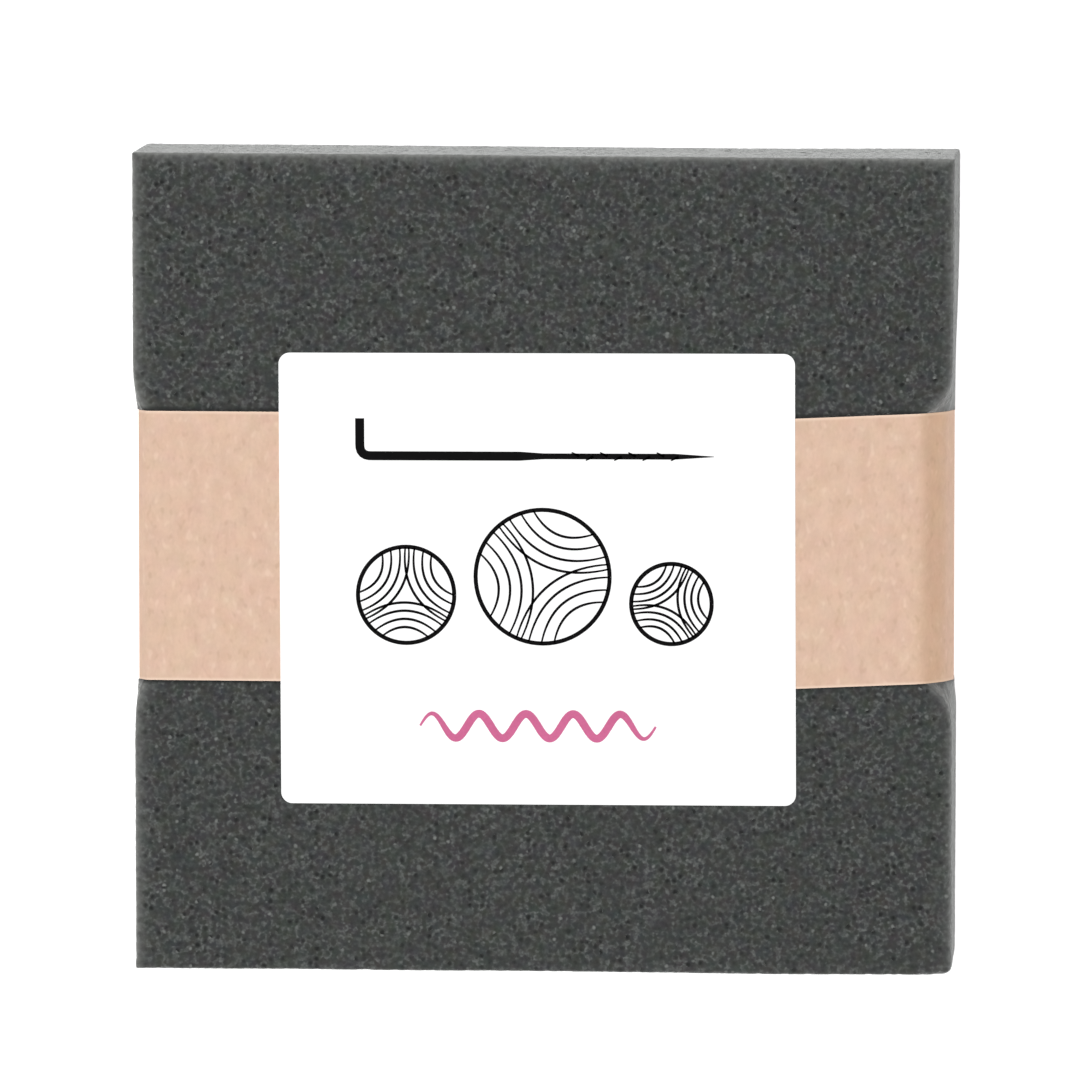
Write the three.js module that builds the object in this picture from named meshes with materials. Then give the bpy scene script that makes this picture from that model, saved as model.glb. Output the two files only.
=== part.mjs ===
// A needle felting mat: a square pad of open-cell foam with a strip of kraft paper wrapped round its middle.
// The strip's two ends lap on the front, where a stuck-on paper label covers the lap and holds the strip closed.
// Millimetres, +Z up. The pad lies on its back face with the label facing up, and the origin is the middle of
// that back face. +X runs along the strip's front and +Y across it.

import * as THREE from "three";

// Foam pad at its free size
const PAD_WIDTH = 152.4;
const PAD_LENGTH = 152.4;
const PAD_THICKNESS = 25.4;
const PAD_EDGE_RADIUS = 1.0; // along the edges that run in Y
const PAD_END_CHAMFER = 0.5; // round the two end faces

// Paper band, by its outside
const BAND_WIDTH = 50.4;
const BAND_THICKNESS = 0.4;
const BAND_MIDDLE_Y = 3.1;
const BAND_PROUD = 0.2; // its front above the pad's front face
const BAND_RADIUS_LEFT = 1.8; // where it turns round the pad's left edges
const BAND_RADIUS_RIGHT = 5.5; // where it turns round the pad's right edges
const BAND_CLIMB = 0.55; // how far it climbs in Y across the back, from left to right
const BAND_SLANT = 2.7; // degrees, of the front run that comes in from the right

// How far the band draws the pad's sides in, and the length beside it in which the foam swells out again
const SQUEEZE_LEFT = 0.5;
const SQUEEZE_RIGHT = 0.65;
const SWELL_REACH = 15;

// Lap of the strip's ends: the left one passes under the right one
const LAP_LENGTH = 25;
const LAP_RAMP = 6; // length in which the under end sinks into the foam
const LAP_GAP = 0.15; // between the two layers of paper

// Label
const LABEL_WIDTH = 96.2;
const LABEL_HEIGHT = 84.4;
const LABEL_THICKNESS = 0.15;
const LABEL_RADIUS = 2.1;
const LABEL_X = -0.9;
const LABEL_Y = -2.6;
const LABEL_TURN = 0.4; // degrees

// Clearance between the paper and the foam
const FIT_GAP = 0.3;

// Facets of a quarter turn, and the places in the swell where the foam has a row of points
const CORNER_STEPS = 6;
const SWELL_STEPS = [1, 0.7, 0.45, 0.25, 0.1];

// Outer faces of the band
const bandFront = PAD_THICKNESS + BAND_PROUD;
const bandBack = 0;
const bandLeft = -PAD_WIDTH / 2 + SQUEEZE_LEFT;
const bandRight = PAD_WIDTH / 2 - SQUEEZE_RIGHT;

// Ends of the strip, and how deep the under end lies below the over end
const overEnd = LABEL_X - LAP_LENGTH / 2;
const underEnd = LABEL_X + LAP_LENGTH / 2;
const lapDrop = BAND_THICKNESS + LAP_GAP;

// The four long edges in the order in which the strip turns round them, seen from -Y and counter-clockwise.
const EDGES = [
  { side: -1, face: 1, start: 90, radius: BAND_RADIUS_LEFT },
  { side: -1, face: -1, start: 180, radius: BAND_RADIUS_LEFT },
  { side: 1, face: -1, start: 270, radius: BAND_RADIUS_RIGHT },
  { side: 1, face: 1, start: 0, radius: BAND_RADIUS_RIGHT },
];

// Unit vectors that sweep a quarter turn round an edge, in the XZ plane.
function sweep(edge) {
  const directions = [];
  for (let step = 0; step <= CORNER_STEPS; step += 1) {
    const angle = THREE.MathUtils.degToRad(edge.start + (90 * step) / CORNER_STEPS);
    directions.push(new THREE.Vector2(Math.cos(angle), Math.sin(angle)));
  }
  return directions;
}

// Centre of a band corner, from the outer faces that it joins.
function bandCorner(edge) {
  const x = edge.side < 0 ? bandLeft + edge.radius : bandRight - edge.radius;
  const z = edge.face < 0 ? bandBack + edge.radius : bandFront - edge.radius;
  return new THREE.Vector2(x, z);
}

// Centre of a free pad edge's rounding.
function padCorner(edge) {
  const x = edge.side * (PAD_WIDTH / 2 - PAD_EDGE_RADIUS);
  const z = edge.face < 0 ? PAD_EDGE_RADIUS : PAD_THICKNESS - PAD_EDGE_RADIUS;
  return new THREE.Vector2(x, z);
}

// How far the strip is moved along Y on the front run that comes in from the right, at a place x.
function slantAt(x) {
  const run = bandRight - BAND_RADIUS_RIGHT - x;
  return BAND_CLIMB - run * Math.tan(THREE.MathUtils.degToRad(BAND_SLANT));
}

// The strip's line from its under end round the pad to its over end. Each stop has a place on the outer face,
// the outward direction there and the strip's move along Y.
function bandLine() {
  const up = new THREE.Vector2(0, 1);
  const stop = (x, z, move) => ({ place: new THREE.Vector2(x, z), out: up, move });
  const line = [
    stop(underEnd, bandFront - lapDrop, 0),
    stop(overEnd, bandFront - lapDrop, 0),
    stop(overEnd - LAP_RAMP, bandFront, 0),
  ];
  for (const edge of EDGES) {
    const move = edge.side < 0 ? 0 : BAND_CLIMB;
    for (const out of sweep(edge)) {
      const place = bandCorner(edge).addScaledVector(out, edge.radius);
      line.push({ place, out, move });
    }
  }
  line.push(stop(overEnd, bandFront, slantAt(overEnd)));
  return line;
}

// Points of the pad's section, counter-clockwise seen from -Y. Each has its free place, the place where the
// band holds it, the outward direction, and the moves along Y of the band's upper and lower edges.
function padSection() {
  const seat = bandFront - BAND_THICKNESS - FIT_GAP;
  const lapSeat = seat - lapDrop;
  const up = new THREE.Vector2(0, 1);
  const onFront = (x, held, high, low) => ({
    free: new THREE.Vector2(x, PAD_THICKNESS),
    held: new THREE.Vector2(x, held),
    out: up,
    high,
    low,
  });
  const pastLap = underEnd + FIT_GAP;
  const levelAgain = pastLap + LAP_RAMP;
  const section = [
    onFront(levelAgain, seat, slantAt(levelAgain), slantAt(levelAgain)),
    onFront(pastLap, lapSeat, 0, slantAt(pastLap)),
    onFront(overEnd, lapSeat, 0, slantAt(overEnd)),
    onFront(overEnd - LAP_RAMP, seat, 0, 0),
  ];
  for (const edge of EDGES) {
    const move = edge.side < 0 ? 0 : BAND_CLIMB;
    for (const out of sweep(edge)) {
      section.push({
        free: padCorner(edge).addScaledVector(out, PAD_EDGE_RADIUS),
        held: bandCorner(edge).addScaledVector(out, edge.radius - BAND_THICKNESS - FIT_GAP),
        out,
        high: move,
        low: move,
      });
    }
  }
  return section;
}

// Rows of points along the pad, from its lower end to its upper end. Each gives the row's place along Y at a
// point of the section, how firmly the band holds the foam there, and how far the row is drawn in all round.
function padRows() {
  const end = PAD_LENGTH / 2;
  const lowEdge = (point) => BAND_MIDDLE_Y - BAND_WIDTH / 2 - FIT_GAP + point.low;
  const highEdge = (point) => BAND_MIDDLE_Y + BAND_WIDTH / 2 + FIT_GAP + point.high;
  const hold = (share) => (1 - share) ** 3;
  const below = SWELL_STEPS.map((share) => ({
    y: (point) => lowEdge(point) - share * SWELL_REACH,
    hold: hold(share),
    inset: 0,
  }));
  const above = SWELL_STEPS.toReversed().map((share) => ({
    y: (point) => highEdge(point) + share * SWELL_REACH,
    hold: hold(share),
    inset: 0,
  }));
  return [
    { y: () => -end, hold: 0, inset: PAD_END_CHAMFER },
    { y: () => -end + PAD_END_CHAMFER, hold: 0, inset: 0 },
    ...below,
    { y: lowEdge, hold: 1, inset: 0 },
    { y: highEdge, hold: 1, inset: 0 },
    ...above,
    { y: () => end - PAD_END_CHAMFER, hold: 0, inset: 0 },
    { y: () => end, hold: 0, inset: PAD_END_CHAMFER },
  ];
}

// A closed body from its points and triangles.
function body(points, triangles) {
  const geometry = new THREE.BufferGeometry().setFromPoints(points);
  geometry.setIndex(triangles.flat());
  geometry.computeVertexNormals();
  return geometry;
}

// The pad: its section carried along Y, drawn in under the band, and closed by a fan at each end.
function padGeometry() {
  const section = padSection();
  const rows = padRows();
  const count = section.length;
  const points = [];
  for (const row of rows) {
    for (const point of section) {
      const place = point.free.clone().lerp(point.held, row.hold).addScaledVector(point.out, -row.inset);
      points.push(new THREE.Vector3(place.x, row.y(point), place.y));
    }
  }
  const lowerHub = points.push(new THREE.Vector3(0, -PAD_LENGTH / 2, PAD_THICKNESS / 2)) - 1;
  const upperHub = points.push(new THREE.Vector3(0, PAD_LENGTH / 2, PAD_THICKNESS / 2)) - 1;
  const lastRow = (rows.length - 1) * count;
  const triangles = [];
  for (let i = 0; i < count; i += 1) {
    const next = (i + 1) % count;
    for (let base = 0; base < lastRow; base += count) {
      triangles.push([base + i, base + count + i, base + count + next]);
      triangles.push([base + i, base + count + next, base + next]);
    }
    triangles.push([lowerHub, i, next]);
    triangles.push([upperHub, lastRow + next, lastRow + i]);
  }
  return body(points, triangles);
}

// The band: a flat strip of paper carried along its line, four points to a stop.
function bandGeometry() {
  const line = bandLine();
  const points = [];
  for (const { place, out, move } of line) {
    const inside = place.clone().addScaledVector(out, -BAND_THICKNESS);
    const low = BAND_MIDDLE_Y - BAND_WIDTH / 2 + move;
    const high = low + BAND_WIDTH;
    points.push(new THREE.Vector3(place.x, low, place.y));
    points.push(new THREE.Vector3(place.x, high, place.y));
    points.push(new THREE.Vector3(inside.x, high, inside.y));
    points.push(new THREE.Vector3(inside.x, low, inside.y));
  }
  const triangles = [];
  for (let stop = 0; stop < line.length - 1; stop += 1) {
    for (let corner = 0; corner < 4; corner += 1) {
      const here = stop * 4 + corner;
      const beside = stop * 4 + ((corner + 1) % 4);
      triangles.push([here, beside, beside + 4]);
      triangles.push([here, beside + 4, here + 4]);
    }
  }
  const last = (line.length - 1) * 4;
  triangles.push([0, 3, 2], [0, 2, 1]);
  triangles.push([last, last + 1, last + 2], [last, last + 2, last + 3]);
  return body(points, triangles);
}

// The label: a rectangle with round corners.
function labelGeometry() {
  const x = LABEL_WIDTH / 2 - LABEL_RADIUS;
  const y = LABEL_HEIGHT / 2 - LABEL_RADIUS;
  const quarter = Math.PI / 2;
  const outline = new THREE.Shape();
  outline.absarc(x, y, LABEL_RADIUS, 0, quarter);
  outline.absarc(-x, y, LABEL_RADIUS, quarter, 2 * quarter);
  outline.absarc(-x, -y, LABEL_RADIUS, 2 * quarter, 3 * quarter);
  outline.absarc(x, -y, LABEL_RADIUS, 3 * quarter, 4 * quarter);
  return new THREE.ExtrudeGeometry(outline, {
    depth: LABEL_THICKNESS,
    bevelEnabled: false,
    curveSegments: CORNER_STEPS,
  });
}

const foam = new THREE.MeshStandardMaterial({ color: 0x484a48, roughness: 1.0, metalness: 0 });
const kraftPaper = new THREE.MeshStandardMaterial({ color: 0xe2c2ac, roughness: 0.9, metalness: 0 });
const labelPaper = new THREE.MeshStandardMaterial({ color: 0xfafafa, roughness: 0.5, metalness: 0 });

const pad = new THREE.Mesh(padGeometry(), foam);
pad.name = "foam_pad";

const band = new THREE.Mesh(bandGeometry(), kraftPaper);
band.name = "kraft_band";

const label = new THREE.Mesh(labelGeometry(), labelPaper);
label.name = "front_label";
label.position.set(LABEL_X, LABEL_Y, bandFront);
label.rotation.z = THREE.MathUtils.degToRad(LABEL_TURN);

// The band and the label come off the pad together, as a sleeve.
const sleeve = new THREE.Group();
sleeve.add(band, label);

const mat = new THREE.Group();
mat.add(pad, sleeve);

export default mat;
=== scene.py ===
"""Looks of a needle felting mat: a charcoal foam pad, a kraft paper band round it and a stuck-on label.

Metres, +Z up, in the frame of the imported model. The pad lies on its back face with the label facing up, +X
runs along the band's front and +Y across it.
"""

import logging
import math
from dataclasses import dataclass, field
from enum import Enum

import bpy
import numpy as np
from mathutils import Matrix, Vector


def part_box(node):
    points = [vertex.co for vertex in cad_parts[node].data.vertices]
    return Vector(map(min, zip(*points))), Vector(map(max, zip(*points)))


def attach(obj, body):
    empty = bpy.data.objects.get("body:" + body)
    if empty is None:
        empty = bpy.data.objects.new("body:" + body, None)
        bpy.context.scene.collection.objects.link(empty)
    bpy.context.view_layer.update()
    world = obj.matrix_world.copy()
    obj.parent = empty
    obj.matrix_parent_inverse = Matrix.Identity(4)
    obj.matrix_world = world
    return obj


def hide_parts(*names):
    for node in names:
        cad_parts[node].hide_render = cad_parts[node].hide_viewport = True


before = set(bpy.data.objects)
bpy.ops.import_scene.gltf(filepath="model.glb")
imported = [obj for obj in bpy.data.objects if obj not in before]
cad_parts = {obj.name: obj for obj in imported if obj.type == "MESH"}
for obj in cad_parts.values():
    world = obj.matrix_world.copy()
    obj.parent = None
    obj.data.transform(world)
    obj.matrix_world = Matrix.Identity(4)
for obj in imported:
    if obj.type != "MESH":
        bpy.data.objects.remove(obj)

MM = 0.001
BAKE_MAP = "OFBake"
STRIP_MAP = "strip"
BLUR_SPREAD = 0.4  # square of how far one full step of the blur spreads a point, in spacings
SHARP_ANGLE = math.radians(40.0)  # steeper edges stay sharp in smooth shading
SAME_PLACE = 1e-7  # points closer than this are one point
WHITE = (1.0, 1.0, 1.0, 1.0)

Array = np.ndarray
Place = tuple[float, float, float]
Colour = tuple[float, float, float]
Point = tuple[float, float]
Span = tuple[float, float]  # where something starts and where it ends
Profile = tuple[Point, ...]
Object = bpy.types.Object
Material = bpy.types.Material
Socket = bpy.types.NodeSocket
Value = float | int | tuple | Socket
Inputs = dict[int | str, Value]

LOG = logging.getLogger("felting_mat")


class Body(Enum):
    """The two bodies that the pieces ride on."""

    PAD = "pad"
    SLEEVE = "sleeve"


class Slot(Enum):
    """The record's material slots."""

    FOAM = "charcoal_foam"
    KRAFT = "kraft_paper"
    LABEL = "label_paper"


class TreeWriter:
    """Writes nodes and links into one node tree."""

    def __init__(self, tree: bpy.types.NodeTree) -> None:
        """Takes the tree and empties it."""
        self.tree = tree
        tree.nodes.clear()

    def add(self, kind: str, inputs: Inputs | None = None, **settings: object) -> bpy.types.Node:
        """Adds a node.

        Args:
            kind: The node's type name.
            inputs: What each input, by its number or name, is set to or linked from.
            settings: The node's own properties.

        Returns:
            The new node.
        """
        node = self.tree.nodes.new(kind)
        for name, value in settings.items():
            setattr(node, name, value)
        for key, value in (inputs or {}).items():
            self.feed(node.inputs[key], value)
        return node

    def feed(self, socket: Socket, value: Value) -> None:
        """Links a socket from an output, or sets its own value."""
        if isinstance(value, Socket):
            self.tree.links.new(value, socket)
        else:
            socket.default_value = value

    def maths(self, operation: str, *values: Value) -> Socket:
        """Adds a Math node and returns its result."""
        return self.add("ShaderNodeMath", dict(enumerate(values)), operation=operation).outputs[0]

    def vector(self, operation: str, *values: Value) -> Socket:
        """Adds a Vector Math node and returns its result."""
        return self.add("ShaderNodeVectorMath", dict(enumerate(values)), operation=operation).outputs[0]

    def scaled(self, vector: Value, factor: Value) -> Socket:
        """Adds a Vector Math node that scales a vector, and returns the result."""
        return self.add("ShaderNodeVectorMath", {0: vector, "Scale": factor}, operation="SCALE").outputs[0]

    def parts(self, vector: Socket) -> bpy.types.NodeOutputs:
        """Splits a vector or a colour into its three numbers."""
        return self.add("ShaderNodeSeparateXYZ", {0: vector}).outputs

    def ramp(self, value: Value, span: Span, results: Span = (0.0, 1.0)) -> Socket:
        """Maps a value smoothly from one span to another.

        Args:
            value: The value to map.
            span: Where the value's span starts and ends.
            results: What comes out at the span's start and end.

        Returns:
            The mapped value.
        """
        names = ("Value", "From Min", "From Max", "To Min", "To Max")
        inputs = dict(zip(names, (value, *span, *results)))
        return self.add("ShaderNodeMapRange", inputs, interpolation_type="SMOOTHSTEP").outputs["Result"]

    def pattern(self, vector: Socket, size: Value) -> Inputs:
        """Returns the inputs of a texture whose features have a size, by its place."""
        linked = isinstance(size, Socket)
        return {"Vector": vector, "Scale": self.maths("DIVIDE", 1.0, size) if linked else 1.0 / size}

    def noise(self, vector: Socket, size: Value, detail: float = 2.0) -> Socket:
        """Adds a noise texture and returns its value."""
        return self.add("ShaderNodeTexNoise", {**self.pattern(vector, size), "Detail": detail}).outputs[0]

    def hues(self, vector: Socket, size: Value) -> Socket:
        """Adds a noise texture and returns its colour."""
        return self.add("ShaderNodeTexNoise", self.pattern(vector, size)).outputs["Color"]

    def cells(self, vector: Socket, size: Value, feature: str = "F1") -> bpy.types.Node:
        """Adds a cell texture and returns its node."""
        return self.add("ShaderNodeTexVoronoi", self.pattern(vector, size), feature=feature)

    def mix(self, share: Value, first: Value, second: Value) -> Socket:
        """Mixes two colours and returns the result."""
        return self.add("ShaderNodeMix", {0: share, 6: first, 7: second}, data_type="RGBA").outputs[2]


class GeometryTree(TreeWriter):
    """A Geometry Nodes tree with named inputs, which ends in Realize Instances and Set Material."""

    def __init__(self, name: str, sizes: dict[str, float | int]) -> None:
        """Makes the tree with inputs for its geometry, its material and each of its sizes.

        Args:
            name: The tree's name.
            sizes: What each named size is set to.
        """
        super().__init__(bpy.data.node_groups.new(name, "GeometryNodeTree"))
        self.tree.interface.new_socket("Geometry", in_out="OUTPUT", socket_type="NodeSocketGeometry")
        self.sizes = sizes
        kinds = {"Geometry": "NodeSocketGeometry", "Material": "NodeSocketMaterial"}
        for key, value in sizes.items():
            kinds[key] = "NodeSocketInt" if isinstance(value, int) else "NodeSocketFloat"
        self.identifiers = {
            key: self.tree.interface.new_socket(key, in_out="INPUT", socket_type=kind).identifier
            for key, kind in kinds.items()
        }
        self.source = self.add("NodeGroupInput")

    def entry(self, name: str) -> Socket:
        """Returns where a named input enters the tree."""
        return self.source.outputs[name]

    def place(self) -> Socket:
        """Returns where each point is."""
        return self.add("GeometryNodeInputPosition").outputs[0]

    def moved(self, geometry: Socket, places: Socket) -> Socket:
        """Moves each point to a new place, and returns the geometry."""
        return self.add("GeometryNodeSetPosition", {"Geometry": geometry, "Position": places}).outputs[0]

    def at_height(self, parts: bpy.types.NodeOutputs, height: Socket) -> Socket:
        """Returns a place with another height."""
        return self.add("ShaderNodeCombineXYZ", {0: parts["X"], 1: parts["Y"], 2: height}).outputs[0]

    def named_value(self, name: str) -> Socket:
        """Returns a named value that the mesh carries."""
        return self.add("GeometryNodeInputNamedAttribute", {"Name": name}, data_type="FLOAT").outputs[0]

    def close(self, geometry: Socket) -> None:
        """Ends the tree: makes instances real, sets the material and gives the geometry out."""
        real = self.add("GeometryNodeRealizeInstances", {"Geometry": geometry}).outputs[0]
        dressed = self.add("GeometryNodeSetMaterial", {"Geometry": real, "Material": self.entry("Material")})
        self.add("NodeGroupOutput", {0: dressed.outputs[0]})

    def run(self, piece: Object, material: Material) -> None:
        """Runs the tree on a piece and turns the result into a plain mesh.

        Args:
            piece: The object whose mesh enters the tree.
            material: What the result is dressed in.
        """
        modifier = piece.modifiers.new(self.tree.name, "NODES")
        modifier.node_group = self.tree
        for name, value in {"Material": material, **self.sizes}.items():
            modifier[self.identifiers[name]] = value
        settle(piece)


class Shader(TreeWriter):
    """A material with one Principled shader, whose colour and relief come from nodes."""

    def __init__(self, name: str, **constants: Value) -> None:
        """Makes the material.

        Args:
            name: The material's name.
            constants: Values of the shader's own sockets, with spaces in their names as underscores.
        """
        self.surface = bpy.data.materials.new(name)
        self.surface.use_nodes = True
        super().__init__(self.surface.node_tree)
        self.shader = self.add("ShaderNodeBsdfPrincipled")
        self.add("ShaderNodeOutputMaterial", {"Surface": self.shader.outputs[0]})
        for key, value in constants.items():
            self.shader.inputs[key.replace("_", " ")].default_value = value

    def places(self) -> Socket:
        """Returns the place of a point in the object's own coordinates."""
        return self.add("ShaderNodeTexCoord").outputs["Object"]

    def attribute(self, name: str) -> Socket:
        """Returns a named value that the mesh carries."""
        return self.add("ShaderNodeAttribute", attribute_name=name).outputs["Fac"]

    def tinted(self, colour: Value, places: Socket, size: float, strength: float) -> Socket:
        """Gives a colour a tint that drifts from place to place.

        Args:
            colour: The colour.
            places: The place of each point.
            size: How large a patch of one tint is.
            strength: How far the tints lie apart.

        Returns:
            The tinted colour.
        """
        shift = 1 - strength / 2
        tint = self.vector("MULTIPLY_ADD", self.hues(places, size), (strength,) * 3, (shift,) * 3)
        return self.vector("MULTIPLY", colour, tint)

    def finish(self, colour: Socket, height: Socket, depth: float, roughness: Socket | None = None) -> None:
        """Links the colour, the relief and the roughness into the shader.

        Args:
            colour: The surface's colour.
            height: The relief, from 0 to 1.
            depth: How deep the relief is, in metres.
            roughness: The roughness, where it varies.
        """
        bump = self.add("ShaderNodeBump", {"Height": height, "Distance": depth, "Strength": 1.0})
        self.feed(self.shader.inputs["Base Color"], colour)
        self.feed(self.shader.inputs["Normal"], bump.outputs[0])
        if roughness is not None:
            self.feed(self.shader.inputs["Roughness"], roughness)


def opaque(colour: Colour) -> tuple[float, float, float, float]:
    """Returns a colour with full cover."""
    return (*colour, 1.0)


def settle(piece: Object) -> None:
    """Takes a piece's evaluated mesh as its own, and removes its modifiers."""
    graph = bpy.context.evaluated_depsgraph_get()
    mesh = bpy.data.meshes.new_from_object(
        piece.evaluated_get(graph), preserve_all_data_layers=True, depsgraph=graph
    )
    piece.modifiers.clear()
    piece.data = mesh


def new_object(name: str, data: bpy.types.ID) -> Object:
    """Makes an object of a mesh, a light or a camera at the scene's origin, and returns it."""
    item = bpy.data.objects.new(name, data)
    bpy.context.scene.collection.objects.link(item)
    return item


def new_piece(name: str, points: Array, quads: Array) -> Object:
    """Makes an object of four-sided faces in the scene.

    Args:
        name: The object's name.
        points: One row of x, y and z for each point.
        quads: One row of four point numbers for each face.

    Returns:
        The object, at the origin.
    """
    mesh = bpy.data.meshes.new(name)
    mesh.vertices.add(len(points))
    mesh.vertices.foreach_set("co", np.ascontiguousarray(points, dtype=np.float32).ravel())
    mesh.loops.add(quads.size)
    mesh.loops.foreach_set("vertex_index", np.ascontiguousarray(quads, dtype=np.int32).ravel())
    mesh.polygons.add(len(quads))
    mesh.polygons.foreach_set("loop_start", np.arange(0, quads.size, 4, dtype=np.int32))
    mesh.update(calc_edges=True)
    mesh.validate()
    return new_object(name, mesh)


def give_map(piece: Object, name: str, corners: Array) -> None:
    """Gives a piece a UV map, from one row of u and v for each face corner."""
    layer = piece.data.uv_layers.new(name=name)
    layer.data.foreach_set("uv", np.ascontiguousarray(corners, dtype=np.float32).ravel())


def give_values(piece: Object, name: str, values: Array) -> None:
    """Gives a piece a named value at each of its points."""
    layer = piece.data.attributes.new(name, "FLOAT", "POINT")
    layer.data.foreach_set("value", np.ascontiguousarray(values, dtype=np.float32))


def smooth_faces(piece: Object) -> None:
    """Shades a piece smooth, with its sharp edges kept."""
    piece.data.shade_smooth()
    piece.data.set_sharp_from_angle(angle=SHARP_ANGLE)


def slab_faces(rows: int, columns: int) -> Array:
    """Joins two like grids of points, the outer one and then the inner one, into a closed slab.

    Args:
        rows: Points along each grid.
        columns: Points across it.

    Returns:
        One row of four point numbers for each face: the wide faces first, then the rims.
    """
    outer = np.arange(rows * columns).reshape(rows, columns)
    inner = outer + outer.size
    rims = (outer[:, 0], outer[::-1, -1], outer[0, ::-1], outer[-1])
    runs = [
        (outer[:-1, :-1], outer[:-1, 1:], outer[1:, 1:], outer[1:, :-1]),
        (inner[:-1, :-1], inner[1:, :-1], inner[1:, 1:], inner[:-1, 1:]),
        *((rim[:-1], rim[1:], rim[1:] + outer.size, rim[:-1] + outer.size) for rim in rims),
    ]
    return np.concatenate([np.stack(run, axis=-1).reshape(-1, 4) for run in runs])


def distances(points: Array) -> Array:
    """Returns how far along a line each of its points is."""
    return np.concatenate(([0.0], np.cumsum(np.hypot(*np.diff(points, axis=0).T))))


def walk(path: list[Point], shares: Array) -> Array:
    """Finds places along a line of points.

    Args:
        path: The line's points.
        shares: How far along the line each place is, from 0 to 1.

    Returns:
        One row of two coordinates for each share.
    """
    points = np.array(path)
    lengths = distances(points)
    return np.stack([np.interp(shares * lengths[-1], lengths, points[:, axis]) for axis in (0, 1)], axis=-1)


def rounded(path: list[Place], steps: int) -> list[Point]:
    """Rounds the corners of a line.

    Args:
        path: The line's points, each with the radius of its corner.
        steps: Stretches in each rounded corner.

    Returns:
        The points of the rounded line.
    """
    line: list[Point] = [path[0][:2]]
    for before, (x, z, radius), after in zip(path, path[1:], path[2:]):
        corner = np.array((x, z))
        to_start = np.array(before[:2]) - corner
        to_end = np.array(after[:2]) - corner
        to_start /= np.linalg.norm(to_start)
        to_end /= np.linalg.norm(to_end)
        half = math.acos(float(np.clip(to_start @ to_end, -1.0, 1.0))) / 2
        reach = radius / math.tan(half)
        for share in np.linspace(0.0, 1.0, steps + 1):
            start = corner + to_start * reach * (1 - share)
            line.append(tuple(start + (corner + to_end * reach * share - start) * share))
    line.append(path[-1][:2])
    return line


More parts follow.
